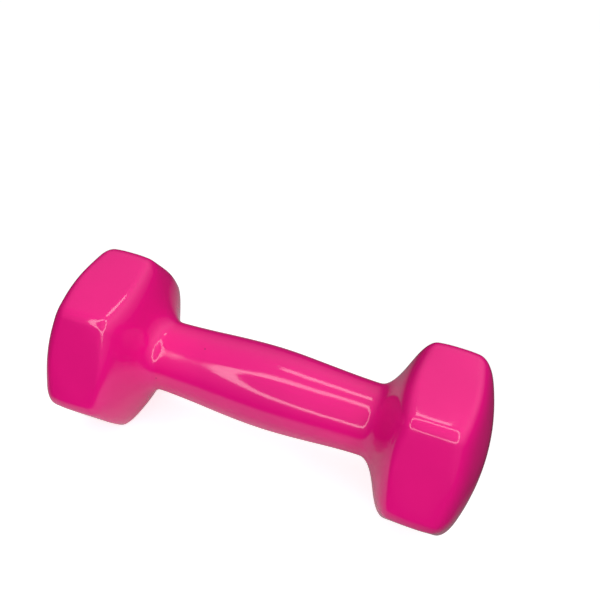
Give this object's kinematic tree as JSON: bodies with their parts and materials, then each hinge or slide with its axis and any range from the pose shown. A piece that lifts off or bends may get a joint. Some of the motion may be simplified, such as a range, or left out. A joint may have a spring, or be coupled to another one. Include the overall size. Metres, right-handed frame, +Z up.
{
  "type": "vinyl dipped hand dumbbell",
  "caption": "Hand dumbbell with hexagonal heads and a swelling round grip, one iron casting under a continuous glossy dipped vinyl skin.",
  "frame": {"origin": "under the middle of the handle, on the surface that the lowest flats of the two heads rest on", "axes": "+X along the handle, away from the end with the hanger hole plug; +Z up, square to the lowest flats; +Y completes the right-handed frame"},
  "size_m": [0.2038, 0.0872, 0.0782],
  "materials": {
    "cast_iron": "rough grey iron, as cast",
    "dipped_vinyl": "glossy hot pink dipped vinyl",
    "plug_vinyl": "pink vinyl, a little duller than the skin"
  },
  "bodies": {
    "root": {"iron_core": "cast_iron", "vinyl_coat": "dipped_vinyl", "hanger_hole_plug": "plug_vinyl"}
  },
  "joints": []
}
